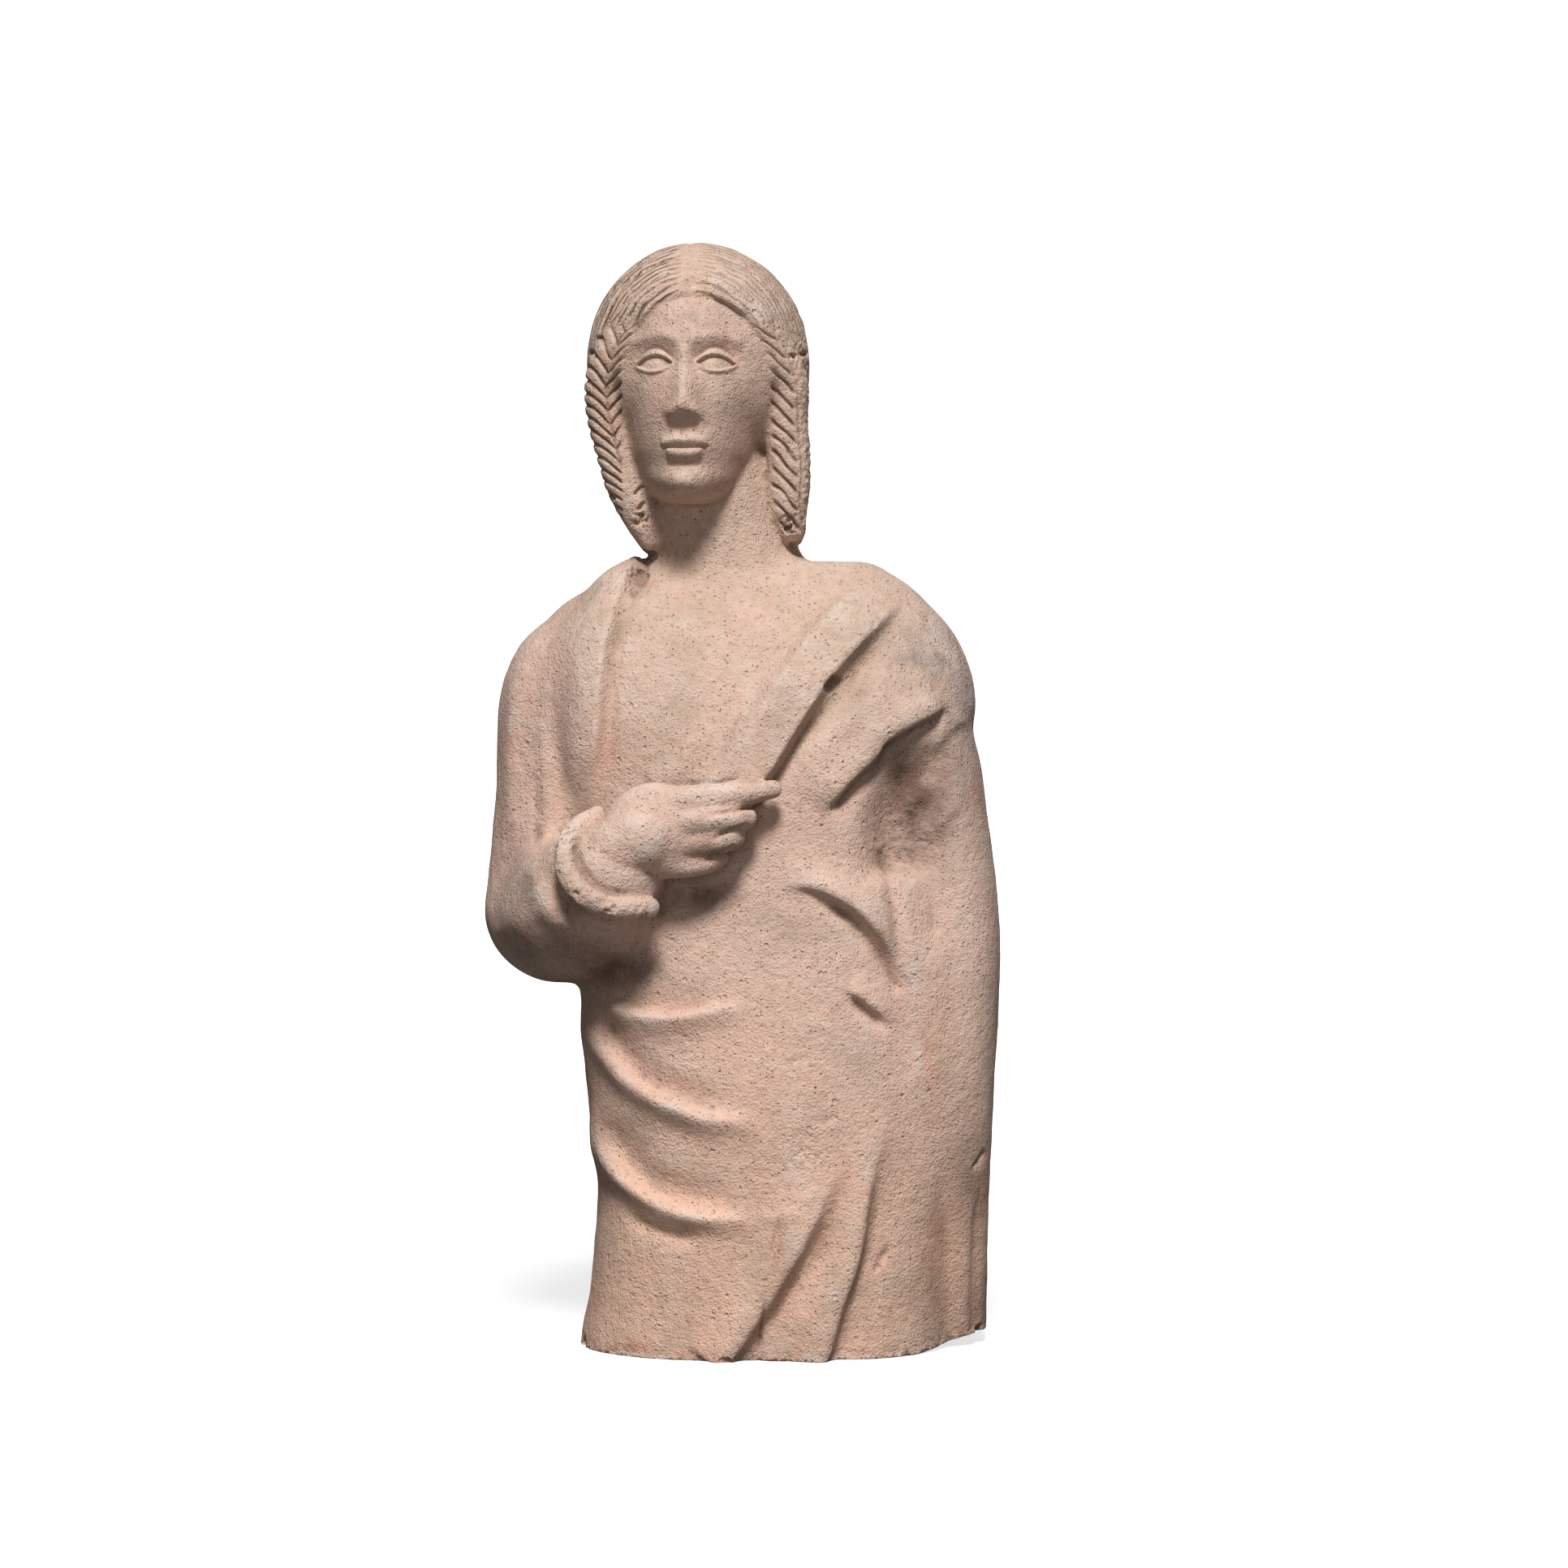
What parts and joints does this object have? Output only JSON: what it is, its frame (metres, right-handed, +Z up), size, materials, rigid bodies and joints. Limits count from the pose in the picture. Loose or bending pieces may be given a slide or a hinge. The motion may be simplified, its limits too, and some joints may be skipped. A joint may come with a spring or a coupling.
{
  "type": "votive bust",
  "caption": "Fired-clay half-figure of a draped woman, hollow and open below, that stands on its cut-off underside as a votive or display piece.",
  "frame": {"origin": "middle of the bust's bounding box in plan, at the height of its flat underside", "axes": "+Z up along the figure, -Y the way the figure faces, +X to the viewer's right as they look at the front"},
  "size_m": [0.3016, 0.2028, 0.643],
  "materials": {
    "terracotta": "matt unglazed fired clay"
  },
  "bodies": {
    "root": {"votive_bust": "terracotta"}
  },
  "joints": []
}
